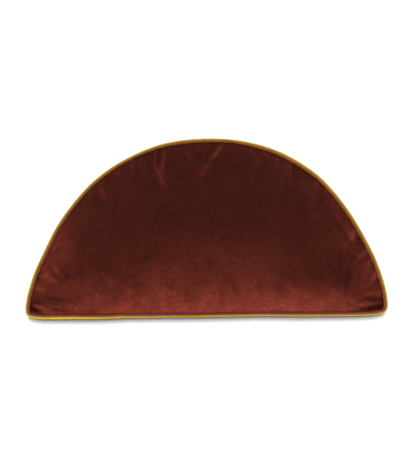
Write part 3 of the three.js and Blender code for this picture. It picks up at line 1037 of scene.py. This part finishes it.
@dataclass
class Piping:
    """The piping: a bias strip of cloth over a filler cord, sewn into the seam as a closed loop.

    The strip's ends meet in one slanted join on the straight edge. The side towards the velvet has painted
    shade and the outer side a painted highlight. Where each starts is a place across the cord, 0 on its top
    and
    1 at that side. The shade is full at 1, the highlight at highlight_to. Some stretches are darker all
    round, mixed towards the shade colour.
    """

    form: PillowForm
    stations: int = 1080
    sides: int = 20
    unevenness: float = 0.035
    lumps: Waves = Waves(seed=5, longest=0.09, shortest=0.018, count=18)
    join_bearing: float = 220.6
    join_length: float = 0.011
    join_fade: float = 0.0044
    join_edge: float = 0.0012
    join_rise: float = 0.0003
    join_slant: float = 1.0
    # Painted shade on the side of the cord towards the velvet.
    shade_from: float = -0.1
    shade_from_swells: tuple[Swell, ...] = (
        Swell(bearing=270.0, spread=48.0, height=-0.50),
        Swell(bearing=322.0, spread=14.0, height=-0.45),
        Swell(bearing=237.0, spread=8.0, height=-0.25),
    )
    shade_depth: float = 0.75
    shade_swells: tuple[Swell, ...] = (
        Swell(bearing=270.0, spread=48.0, height=0.07),
        Swell(bearing=322.0, spread=14.0, height=0.03),
        Swell(bearing=208.5, spread=8.5, height=-0.7),
        Swell(bearing=54.0, spread=13.0, height=-0.15),
        Swell(bearing=354.0, spread=12.0, height=-0.10),
    )
    dull_swells: tuple[Swell, ...] = (
        Swell(bearing=268.0, spread=44.0, height=0.08),
        Swell(bearing=320.0, spread=14.0, height=0.06),
    )
    # Painted highlight on the cord's outer side.
    highlight_from: float = 0.12
    highlight_to: float = 0.9
    highlight_swells: tuple[Swell, ...] = (
        Swell(bearing=209.0, spread=9.0, height=-0.4),
    )

    def build(self) -> bpy.types.Object:
        """Carries a round section along the seam.

        The section's radius is the piping's, more or less its unevenness, plus a step over the join. Its
        centre keeps the outer side on the outline.

        Returns:
            The finished object.
        """
        path, cord = self.form.path, self.form.cord
        run = np.arange(self.stations) * path.length / self.stations
        turn = np.arange(self.sides) * 2.0 * math.pi / self.sides
        bearing = path.bearing_at(run)
        radius = cord.at(bearing) * (1.0 + self.unevenness * self.lumps.over(run[:, None]))
        centre = path.place(run, radius)
        outward = path.read(path.outward, run)
        height = self.form.seam(centre[:, 0]) + self.form.seam_sway(path.outline.bearing_of(centre))
        section = radius[:, None] + self.join_rise * self.join(run, turn)
        side = section * np.cos(turn)
        place = centre[:, None] + outward[:, None] * side[..., None]
        lift = height[:, None] + section * np.sin(turn)
        points = np.concatenate([place, lift[..., None]], axis=-1).reshape(-1, 3)
        faces = grid_faces(self.stations, self.sides, wrap=True)
        piping = mesh_object("piping_loop", points, faces)
        self.weather(piping, bearing[:, None], np.cos(turn)[None])
        write_uv(piping.data, "cloth", self.unrolled(faces))
        return piping

    def join(self, run: np.ndarray, turn: np.ndarray) -> np.ndarray:
        """Share of the join's rise at each station and side.

        It is a steep step up and a longer one down over the length of the join, slanted round the cord.

        Args:
            run: Lengths along the seam, one for each station.
            turn: Angles round the cord, one for each side.

        Returns:
            The share, by station and side.
        """
        start = self.form.path.run_of(self.join_bearing)
        past = run[:, None] - start - self.join_slant * self.form.cord.radius * np.sin(turn)
        fall = smooth_step(self.join_length, self.join_length + self.join_fade, past)
        return smooth_step(0.0, self.join_edge, past) * (1.0 - fall)

    def weather(self, piping: bpy.types.Object, bearing: np.ndarray, outer: np.ndarray) -> None:
        """Stores the painted shade and the painted highlight of the cloth at each point.

        Args:
            piping: The piping's object.
            bearing: Bearings of the stations, as a column.
            outer: How far out each side faces, from -1 to 1, as a row.
        """
        # Painted shade towards the velvet, and darker all round on some stretches.
        shade_from = self.shade_from + swelling(self.shade_from_swells, bearing)
        depth = self.shade_depth + swelling(self.shade_swells, bearing)
        shade = swelling(self.dull_swells, bearing) + depth * smooth_step(shade_from, 1.0, -outer)
        # Painted highlight on the outer side.
        late = swelling(self.highlight_swells, bearing)
        outer_highlight = smooth_step(self.highlight_from + late, self.highlight_to + late, outer)
        write_values(piping.data, SEAM_SHADE, shade.ravel())
        write_values(piping.data, PAINTED_SHEEN_AND_SHADE, outer_highlight.ravel())

    def unrolled(self, faces: np.ndarray) -> np.ndarray:
        """Places of the face corners on the flat strip, in metres along and across it.

        Args:
            faces: Point numbers, one face to a row.

        Returns:
            One pair of numbers for each corner. The last faces run on past the loop's start.
        """
        corner = faces.ravel()
        row, column = corner // self.sides, corner % self.sides
        face_row = np.repeat(faces[:, 0] // self.sides, 4)
        face_column = np.repeat(faces[:, 0] % self.sides, 4)
        row = np.where(row < face_row, self.stations, row)
        column = np.where(column < face_column, self.sides, column)
        around = column * 2.0 * math.pi * self.form.cord.radius / self.sides
        along = row * self.form.path.length / self.stations
        return np.column_stack([along, around])


@dataclass
class NodeWriter:
    """Adds nodes to a node tree and links them."""

    tree: bpy.types.NodeTree

    def add(self, kind: str, **settings: object) -> bpy.types.Node:
        """Adds a node to the tree.

        Args:
            kind: The node's kind.
            settings: Values for the node's properties.

        Returns:
            The node.
        """
        node = self.tree.nodes.new(kind)
        for name, value in settings.items():
            setattr(node, name, value)
        return node

    def feed(self, target: Socket, value: object) -> None:
        """Links an output to an input, or sets the input to a plain value."""
        if isinstance(value, bpy.types.NodeSocket):
            self.tree.links.new(value, target)
        else:
            target.default_value = value

    def result(
        self, kind: str, given: dict[int | str, object], wanted: int = 0, **settings: object
    ) -> Socket:
        """Adds a node of a kind, feeds it and gives one of its outputs.

        Args:
            kind: The node's kind.
            given: What is fed to it, by the input's number or name.
            wanted: The output's number.
            settings: Values for the node's properties.

        Returns:
            The output.
        """
        node = self.add(kind, **settings)
        for place, value in given.items():
            self.feed(node.inputs[place], value)
        return node.outputs[wanted]

    def math(self, operation: str, first: object, second: object = 0.0) -> Socket:
        """A number worked out from one or two others."""
        return self.result("ShaderNodeMath", {0: first, 1: second}, operation=operation)

    def centred(self, value: Socket) -> Socket:
        """A number from 0 to 1 brought to the range from -0.5 to 0.5."""
        return self.math("SUBTRACT", value, 0.5)

    def vector(self, operation: str, first: object, second: object = (0.0, 0.0, 0.0)) -> Socket:
        """A vector worked out from one or two others."""
        return self.result("ShaderNodeVectorMath", {0: first, 1: second}, operation=operation)

    def stretched(self, vector: object, scale: tuple[float, float, float]) -> Socket:
        """A vector with each coordinate times its own number."""
        return self.result("ShaderNodeMapping", {"Vector": vector, "Scale": scale})

    def scaled(self, vector: object, factor: object) -> Socket:
        """A vector times a number."""
        return self.result("ShaderNodeVectorMath", {0: vector, "Scale": factor}, operation="SCALE")

    def noise(self, vector: Socket, scale: object, detail: float, roughness: float = 0.5) -> bpy.types.Node:
        """A noise texture node on a vector."""
        given = {"Vector": vector, "Scale": scale, "Detail": detail, "Roughness": roughness}
        return self.result("ShaderNodeTexNoise", given).node

    def share(self, value: Socket, low: object, high: object, kind: str = "LINEAR") -> Socket:
        """A number brought from its range between low and high to 0 to 1, and held there."""
        given = {"Value": value, "From Min": low, "From Max": high}
        return self.result("ShaderNodeMapRange", given, interpolation_type=kind)

    def turned_by(self, noise: bpy.types.Node, turn: object) -> Socket:
        """A push either way along each axis: a noise's colour less its middle grey, times a turn."""
        return self.scaled(self.vector("SUBTRACT", noise.outputs["Color"], (0.5, 0.5, 0.5)), turn)

    def blend(self, share: object, first: object, second: object, held: bool = True) -> Socket:
        """A colour between two others, or past the second where the share isn't held to 1."""
        given = {0: share, 6: first, 7: second}
        return self.result("ShaderNodeMix", given, 2, data_type="RGBA", clamp_factor=held)


def new_group(name: str, inputs: dict[str, str], outputs: dict[str, str]) -> NodeWriter:
    """Starts a shader node group with named sockets.

    Args:
        name: The group's name.
        inputs: For each input its socket type.
        outputs: For each output its socket type.

    Returns:
        A writer for the group's tree.
    """
    tree = bpy.data.node_groups.new(name, "ShaderNodeTree")
    for side, sockets in (("INPUT", inputs), ("OUTPUT", outputs)):
        for label, kind in sockets.items():
            tree.interface.new_socket(name=label, in_out=side, socket_type=kind)
    return NodeWriter(tree)


@dataclass(frozen=True)
class PileLie:
    """How a pile stands, leans and is crushed, and how its painted sheen falls: one setting for each input
    of the pile group.

    Brushed way is the unit vector that the pile is brushed towards. Turns are how far the noises push it
    over, and scales how many of their waves go into a metre.
    """

    brushed_way: tuple[float, float, float]
    lean: float
    fan: float
    side_glow: float
    glow_from: float
    glow_to: float
    glow_curve: float
    patch_scale: float
    patch_turn: float
    swirl_scale: float
    swirl_turn: float
    thread_scale: float
    thread_turn: float
    tuft_scale: float
    tuft_turn: float
    normal_turn: float

    @classmethod
    def sockets(cls) -> dict[str, str]:
        """The group's inputs: for each setting its label and socket type."""
        kinds = {"float": "NodeSocketFloat"}
        return {label_of(part.name): kinds.get(part.type, "NodeSocketVector") for part in fields(cls)}

    def set(self, group: bpy.types.ShaderNodeGroup) -> None:
        """Puts the settings into a node that uses the pile group."""
        for part in fields(self):
            group.inputs[label_of(part.name)].default_value = getattr(self, part.name)


def label_of(name: str) -> str:
    """The label of the socket for a setting, such as Side Glow for side_glow."""
    return name.replace("_", " ").title()


def pile_group() -> bpy.types.ShaderNodeTree:
    """The lie of a short pile, as a node group.

    The pile stands on the surface's own normal, fanned out further than the slope, and leans over by a fixed
    vector. Noise turns it in patches where it is crushed, in swirls, along the threads of the ground cloth,
    and tuft by tuft. Glow is a painted sheen, the share of the pile whose lit sides show: the pile's
    direction times the way it is brushed, brought from the range between two limits to 0 to 1, to the power
    of a curve, plus a share of the square of its sideways lean. Crack is 1 on the thin winding lines where
    swirls part.

    Returns:
        The group, with the outputs Normal, Glow, Crush, Swirl, Crack and Thread.
    """
    shares = ("Glow", "Crush", "Swirl", "Crack", "Thread")
    outputs = {"Normal": "NodeSocketVector"} | {label: "NodeSocketFloat" for label in shares}
    write = new_group("pile_lie", PileLie.sockets(), outputs)
    given = write.add("NodeGroupInput").outputs
    result = write.add("NodeGroupOutput").inputs
    coordinates = write.add("ShaderNodeTexCoord").outputs
    place, own = coordinates["Object"], coordinates["Normal"]
    warp_stretch, weft_stretch = (1.0, 0.25, 0.4), (0.25, 1.0, 0.4)
    patch_range, swirl_range, crack_width = (0.35, 0.65), (0.3, 0.7), 0.035

    patch = write.noise(place, given["Patch Scale"], detail=5.0, roughness=0.6)
    swirl = write.noise(place, given["Swirl Scale"], detail=3.0, roughness=0.55)
    swirl.inputs["Distortion"].default_value = 1.2
    warp = write.noise(write.stretched(place, warp_stretch), given["Thread Scale"], detail=1.0)
    weft = write.noise(write.stretched(place, weft_stretch), given["Thread Scale"], detail=1.0)
    tuft = write.noise(place, given["Tuft Scale"], detail=1.0)
    crossed = write.vector("ADD", warp.outputs["Color"], weft.outputs["Color"])
    thread_turn = write.scaled(write.vector("SUBTRACT", crossed, (1.0, 1.0, 1.0)), given["Thread Turn"])
    patch_turn = write.turned_by(patch, given["Patch Turn"])
    swirl_turn = write.turned_by(swirl, given["Swirl Turn"])
    tuft_turn = write.turned_by(tuft, given["Tuft Turn"])
    coarse = write.vector("ADD", patch_turn, swirl_turn)
    fine = write.vector("ADD", thread_turn, tuft_turn)
    turned = write.vector("ADD", coarse, fine)

    # Glow is a painted sheen: brighter where the slope faces the way the pile is brushed.
    slope = write.vector("MULTIPLY", own, (1.0, 1.0, 0.0))
    upright = write.vector("MULTIPLY", own, (0.0, 0.0, 1.0))
    fanned = write.vector("ADD", upright, write.scaled(slope, given["Fan"]))
    leaning = write.vector("ADD", fanned, write.scaled(given["Brushed Way"], given["Lean"]))
    pile = write.vector("NORMALIZE", write.vector("ADD", leaning, turned))
    both_ways = {0: pile, 1: given["Brushed Way"]}
    shown = write.result("ShaderNodeVectorMath", both_ways, 1, operation="DOT_PRODUCT")
    sideways = write.result("ShaderNodeSeparateXYZ", {0: pile})
    from_sides = write.math("MULTIPLY", write.math("MULTIPLY", sideways, sideways), given["Side Glow"])
    reached = write.share(shown, given["Glow From"], given["Glow To"])
    curved = write.math("POWER", reached, given["Glow Curve"])
    write.feed(result["Glow"], write.math("ADD", curved, from_sides))

    uneven = write.vector("ADD", own, write.scaled(turned, given["Normal Turn"]))
    to_world = {"vector_type": "VECTOR", "convert_from": "OBJECT", "convert_to": "WORLD"}
    normal = write.result("ShaderNodeVectorTransform", {0: uneven}, **to_world)
    write.feed(result["Normal"], write.vector("NORMALIZE", normal))

    write.feed(result["Crush"], write.share(patch.outputs["Fac"], *patch_range, "SMOOTHSTEP"))
    write.feed(result["Swirl"], write.share(swirl.outputs["Fac"], *swirl_range, "SMOOTHSTEP"))
    from_line = write.math("ABSOLUTE", write.centred(swirl.outputs["Fac"]))
    write.feed(result["Crack"], write.share(from_line, crack_width, 0.0, "SMOOTHSTEP"))
    both = write.math("MULTIPLY", write.math("ADD", warp.outputs["Fac"], weft.outputs["Fac"]), 0.5)
    write.feed(result["Thread"], write.share(both, *patch_range, "SMOOTHSTEP"))
    return write.tree


@dataclass(frozen=True)
class Sheen:
    """The soft glow of fibre ends seen at a slant."""

    weight: float
    roughness: float
    tint: Colour


@dataclass(frozen=True)
class PileFinish:
    """A pile cloth: dark into the pile, with a painted sheen on its lit sides, brushed and crushed unevenly.

    Shade colour is the colour of its painted shade, in the seam and in troughs, deep its colour into the
    pile and lit the colour of its painted sheen on its lit sides. The colour goes from deep to lit with the
    pile's glow and the stored painted sheen, at most most_sheen of the way, and its grain makes it a little
    uneven. The painted shade takes it towards the shade colour.
    """

    name: str
    hidden: Colour
    deep: Colour
    lit: Colour
    sheen: Sheen
    lie: PileLie
    roughness: float = 0.9
    gloss: float = 0.06
    swirl_share: float = 0.23
    patch_share: float = 0.23
    crack_share: float = 0.10
    grain: float = 0.13
    most_sheen: float = 1.0

    def material(self, group: bpy.types.ShaderNodeTree) -> bpy.types.Material:
        """Builds the material.

        Args:
            group: The node group that gives the lie of the pile.

        Returns:
            The material.
        """
        made = bpy.data.materials.new(self.name)
        made.use_nodes = True
        made.node_tree.nodes.clear()
        write = NodeWriter(made.node_tree)
        pile = write.add("ShaderNodeGroup", node_tree=group)
        self.lie.set(pile)
        crush, swirl, thread = (write.centred(pile.outputs[name]) for name in ("Crush", "Swirl", "Thread"))
        swirled = write.math("MULTIPLY", swirl, self.swirl_share)
        uneven = write.math("ADD", swirled, write.math("MULTIPLY", crush, self.patch_share))
        cracked = write.math("MULTIPLY", pile.outputs["Crack"], self.crack_share)
        uneven = write.math("SUBTRACT", uneven, cracked)
        mixed = write.math("ADD", write.math("ADD", crush, swirl), thread)
        grain = write.math("ADD", write.math("MULTIPLY", mixed, self.grain), 1.0)
        # The stored values are painted sheen above 0 and painted shade below 0.
        opening = write.add("ShaderNodeAttribute", attribute_name=PAINTED_SHEEN_AND_SHADE).outputs["Fac"]
        painted_sheen = write.math("MAXIMUM", opening, 0.0)
        closed = write.math("MAXIMUM", write.math("MULTIPLY", opening, -1.0), 0.0)
        # The pile's glow and the stored painted sheen move the colour from deep towards lit.
        glow = write.math("MULTIPLY", pile.outputs["Glow"], write.math("ADD", uneven, 1.0))
        share = write.math("MINIMUM", write.math("ADD", glow, painted_sheen), self.most_sheen)
        cloth = write.scaled(write.blend(share, self.deep, self.lit, held=False), grain)
        # The seam's painted shade and the stored painted shade take the colour towards the shade colour.
        shade = write.add("ShaderNodeAttribute", attribute_name=SEAM_SHADE).outputs["Fac"]
        colour = write.blend(write.math("ADD", shade, closed), cloth, self.hidden)
        surface = {
            "Base Color": colour,
            "Normal": pile.outputs["Normal"],
            "Roughness": self.roughness,
            "Specular IOR Level": self.gloss,
            "Specular Tint": self.sheen.tint,
            "Sheen Weight": self.sheen.weight,
            "Sheen Roughness": self.sheen.roughness,
            "Sheen Tint": self.sheen.tint,
        }
        shader = write.result("ShaderNodeBsdfPrincipled", surface)
        write.feed(write.add("ShaderNodeOutputMaterial").inputs["Surface"], shader)
        return made


# Each finish's shade colour is its painted shade, and lit is its painted sheen.
VELVET = PileFinish(
    name="rust_velvet",
    hidden=(0.0085, 0.0016, 0.0010, 1.0),
    deep=(0.0228, 0.0045, 0.0030, 1.0),
    lit=(0.172, 0.0285, 0.0172, 1.0),
    sheen=Sheen(weight=0.16, roughness=0.3, tint=(1.0, 0.20, 0.14, 1.0)),
    lie=PileLie(
        brushed_way=(-0.10, -0.995, 0.0),
        lean=0.22,
        fan=1.8,
        side_glow=0.16,
        glow_from=0.24,
        glow_to=0.92,
        glow_curve=2.6,
        patch_scale=30.0,
        patch_turn=0.38,
        swirl_scale=95.0,
        swirl_turn=0.28,
        thread_scale=340.0,
        thread_turn=0.15,
        tuft_scale=1500.0,
        tuft_turn=0.18,
        normal_turn=0.5,
    ),
    most_sheen=1.8,
)
PIPING_CLOTH = PileFinish(
    name="mustard_piping_cloth",
    hidden=(0.068, 0.0265, 0.0095, 1.0),
    deep=(0.166, 0.053, 0.0150, 1.0),
    lit=(0.50, 0.343, 0.034, 1.0),
    sheen=Sheen(weight=0.9, roughness=0.3, tint=(1.0, 1.0, 0.25, 1.0)),
    lie=PileLie(
        brushed_way=(0.0, -1.0, 0.0),
        lean=0.0,
        fan=1.0,
        side_glow=0.0,
        glow_from=-0.2,
        glow_to=6.0,
        glow_curve=1.0,
        patch_scale=60.0,
        patch_turn=0.25,
        swirl_scale=200.0,
        swirl_turn=0.1,
        thread_scale=500.0,
        thread_turn=0.2,
        tuft_scale=1800.0,
        tuft_turn=0.4,
        normal_turn=0.5,
    ),
)


@dataclass(frozen=True)
class SoftLight:
    """A rectangular soft light, aimed at the pillow's middle, its sides along X and Y."""

    name: str
    place: tuple[float, float, float]
    sides: tuple[float, float]
    power: float

    def build(self) -> None:
        """Adds the light."""
        data = bpy.data.lights.new(self.name, "AREA")
        data.shape = "RECTANGLE"
        data.size, data.size_y = self.sides
        data.energy = self.power
        lamp = bpy.data.objects.new(self.name, data)
        bpy.context.scene.collection.objects.link(lamp)
        lamp.location = self.place
        lamp.rotation_mode = "QUATERNION"
        lamp.rotation_quaternion = (-lamp.location).to_track_quat("-Z", "Y")


@dataclass(frozen=True)
class Studio:
    """The pale floor, the lights and the camera straight over the front panel.

    One pixel of the 416 by 465 picture is pixel_size at the height of the seam, and the picture's middle is
    view_centre.
    """

    floor_half: float = 4.0
    floor_depth: float = 0.0004
    floor_colour: Colour = (0.64, 0.64, 0.64, 1.0)
    floor_roughness: float = 0.9
    world_strength: float = 0.30
    lights: tuple[SoftLight, ...] = (
        SoftLight("key_light", (0.0, 1.0, 5.2), (0.5, 1.4), 480.0),
    )
    view_centre: tuple[float, float] = (0.0027, -0.0070)
    view_distance: float = 2.2
    seam_height: float = 0.047
    pixel_size: float = 0.0018237
    picture_height: float = 465.0
    sensor: float = 36.0

    def build(self) -> None:
        """Adds the floor, the world's light, the lamps and the camera."""
        self.add_floor()
        self.add_world()
        for light in self.lights:
            light.build()
        self.add_camera()

    def add_floor(self) -> None:
        """Adds the floor, just under the surface that the back lies on."""
        half = self.floor_half
        corners = [(-half, -half), (half, -half), (half, half), (-half, half)]
        points = np.array([(x, y, -self.floor_depth) for x, y in corners])
        floor = mesh_object("studio_floor", points, np.array([[0, 1, 2, 3]]))
        paper = bpy.data.materials.new("studio_paper")
        paper.use_nodes = True
        shader = paper.node_tree.nodes["Principled BSDF"]
        shader.inputs["Base Color"].default_value = self.floor_colour
        shader.inputs["Roughness"].default_value = self.floor_roughness
        shader.inputs["Specular IOR Level"].default_value = 0.0
        floor.data.materials.append(paper)

    def add_world(self) -> None:
        """Adds even white light from all around, and plain colour handling."""
        world = bpy.data.worlds.new("studio_world")
        world.use_nodes = True
        background = world.node_tree.nodes["Background"]
        background.inputs["Color"].default_value = (1.0, 1.0, 1.0, 1.0)
        background.inputs["Strength"].default_value = self.world_strength
        bpy.context.scene.world = world
        bpy.context.scene.view_settings.view_transform = "Standard"

    def add_camera(self) -> None:
        """Adds the camera, with the lens that gives the picture's scale at the seam."""
        data = bpy.data.cameras.new("camera")
        data.sensor_width = self.sensor
        field_of_view = self.picture_height * self.pixel_size
        data.lens = self.sensor * (self.view_distance - self.seam_height) / field_of_view
        camera = bpy.data.objects.new("camera", data)
        bpy.context.scene.collection.objects.link(camera)
        camera.location = (*self.view_centre, self.view_distance)
        bpy.context.scene.camera = camera


def declare(piece: bpy.types.Object, node: str, finish: bpy.types.Material) -> None:
    """Dresses a piece and ties it to the solid that it stands for.

    Args:
        piece: The piece.
        node: The solid's name.
        finish: Its material.
    """
    piece.data.materials.append(finish)
    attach(piece, BODY)
    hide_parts(node)
    LOG.info("%s: %d faces, for the solid %s", piece.name, len(piece.data.polygons), node)


def main() -> None:
    """Builds the pillow and the studio round it."""
    logging.basicConfig(level=logging.INFO, format="%(name)s: %(message)s")
    form = PillowForm(path=SeamPath(Outline()), cord=CordSize())
    piping = Piping(form=form)
    cover = VelvetCover(form=form, inflation=Inflation())
    pile = pile_group()
    velvet = cover.build()
    declare(velvet, "velvet_cushion", VELVET.material(pile))
    declare(piping.build(), "piping", PIPING_CLOTH.material(pile))
    Studio().build()


if __name__ == "__main__":
    main()
